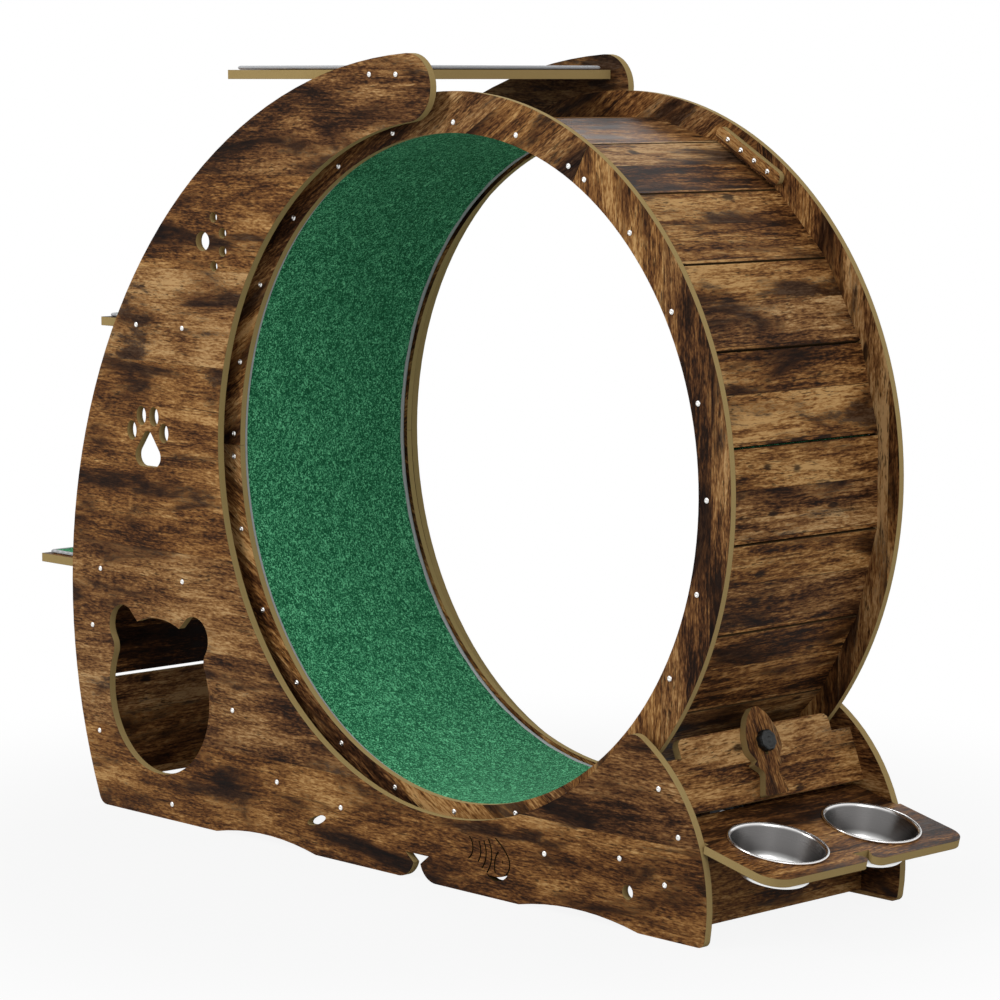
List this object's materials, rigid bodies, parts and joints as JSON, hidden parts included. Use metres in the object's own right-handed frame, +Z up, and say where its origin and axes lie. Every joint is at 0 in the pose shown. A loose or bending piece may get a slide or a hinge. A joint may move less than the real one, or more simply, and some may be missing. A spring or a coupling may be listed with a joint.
{
  "type": "cat exercise wheel",
  "caption": "Wooden cat exercise wheel running on rollers between curved side panels, with matted steps, a sleeping box, a sliding brake and a sloping shelf for food bowls.",
  "frame": {"origin": "on the floor, below the middle of the whole length and width", "axes": "+Z up, +X towards the bowls at the front, Y along the wheel's axle"},
  "size_m": [1.65, 0.422, 1.2161],
  "materials": {
    "panel_laminate": "satin printed planks, raw board edges",
    "board_laminate": "satin printed planks, raw board edges",
    "ring_laminate": "satin printed planks, raw board edges",
    "slat_laminate": "satin printed planks, raw board edges",
    "green_pile": "short looped pile with a grey bound edge",
    "screw_heads": "bright zinc",
    "zinc_steel": "zinc plated",
    "roller_plastic": "matte",
    "black_plastic": "moulded, matte",
    "bowl_steel": "polished"
  },
  "bodies": {
    "stand": {"left_side_panel": "panel_laminate", "right_side_panel": "panel_laminate", "top_shelf": "board_laminate", "top_shelf_mat": "green_pile", "middle_step": "board_laminate", "middle_step_mat": "green_pile", "lower_step": "board_laminate", "lower_step_mat": "green_pile", "house_upper_wall": "board_laminate", "house_lower_wall": "board_laminate", "house_floor": "board_laminate", "rear_upper_guard": "board_laminate", "rear_lower_guard": "board_laminate", "front_guard": "board_laminate", "kick_board": "board_laminate", "lock_board": "board_laminate", "lock_bolt": "zinc_steel", "bowl_shelf": "board_laminate", "rear_roller_rod": "zinc_steel", "front_roller_rod": "zinc_steel", "roller_spacers": "zinc_steel", "left_panel_screws": "screw_heads", "right_panel_screws": "screw_heads"},
    "wheel": {"left_ring_upper": "ring_laminate", "left_ring_lower": "ring_laminate", "left_ring_front": "ring_laminate", "right_ring_upper": "ring_laminate", "right_ring_lower": "ring_laminate", "right_ring_front": "ring_laminate", "left_rear_splice": "slat_laminate", "left_lower_splice": "slat_laminate", "left_upper_splice": "slat_laminate", "right_rear_splice": "slat_laminate", "right_lower_splice": "slat_laminate", "right_upper_splice": "slat_laminate", "slats_upper": "slat_laminate", "slats_front": "slat_laminate", "slats_lower": "slat_laminate", "running_mat": "green_pile", "left_ring_screws": "screw_heads", "right_ring_screws": "screw_heads", "left_splice_screws": "screw_heads", "right_splice_screws": "screw_heads"},
    "left_rear_roller": {"left_rear_roller": "roller_plastic"},
    "left_front_roller": {"left_front_roller": "roller_plastic"},
    "right_rear_roller": {"right_rear_roller": "roller_plastic"},
    "right_front_roller": {"right_front_roller": "roller_plastic"},
    "brake_plate": {"brake_plate": "board_laminate"},
    "brake_knob": {"brake_knob": "black_plastic"},
    "left_bowl": {"left_bowl": "bowl_steel"},
    "right_bowl": {"right_bowl": "bowl_steel"}
  },
  "joints": [
    {"name": "wheel_spin", "type": "hinge", "parent": "stand", "child": "wheel", "pos_m": [0.16563, 0, 0.6117], "axis": [0, 1, 0], "continuous": true},
    {"name": "left_rear_roller_spin", "type": "hinge", "parent": "stand", "child": "left_rear_roller", "pos_m": [-0.05561, -0.1745, 0.08281], "axis": [0, 1, 0], "continuous": true},
    {"name": "left_front_roller_spin", "type": "hinge", "parent": "stand", "child": "left_front_roller", "pos_m": [0.38687, -0.1745, 0.08281], "axis": [0, 1, 0], "continuous": true},
    {"name": "right_rear_roller_spin", "type": "hinge", "parent": "stand", "child": "right_rear_roller", "pos_m": [-0.05561, 0.1745, 0.08281], "axis": [0, 1, 0], "continuous": true},
    {"name": "right_front_roller_spin", "type": "hinge", "parent": "stand", "child": "right_front_roller", "pos_m": [0.38687, 0.1745, 0.08281], "axis": [0, 1, 0], "continuous": true},
    {"name": "brake_slide", "type": "slide", "parent": "stand", "child": "brake_plate", "axis": [-0.3616, 0, 0.9323], "range_m": [0, 0.015]},
    {"name": "knob_turn", "type": "hinge", "parent": "stand", "child": "brake_knob", "pos_m": [0.59902, 0, 0.24332], "axis": [0.9323, 0, 0.3616], "range_deg": [0, 540]},
    {"name": "left_bowl_lift", "type": "slide", "parent": "stand", "child": "left_bowl", "axis": [0.225, 0, 0.9744], "range_m": [0, 0.08]},
    {"name": "right_bowl_lift", "type": "slide", "parent": "stand", "child": "right_bowl", "axis": [0.225, 0, 0.9744], "range_m": [0, 0.08]}
  ],
  "couplings": [
    {"joint": "left_rear_roller_spin", "follows": "wheel_spin", "ratio": -23.913},
    {"joint": "left_front_roller_spin", "follows": "wheel_spin", "ratio": -23.913},
    {"joint": "right_rear_roller_spin", "follows": "wheel_spin", "ratio": -23.913},
    {"joint": "right_front_roller_spin", "follows": "wheel_spin", "ratio": -23.913}
  ]
}
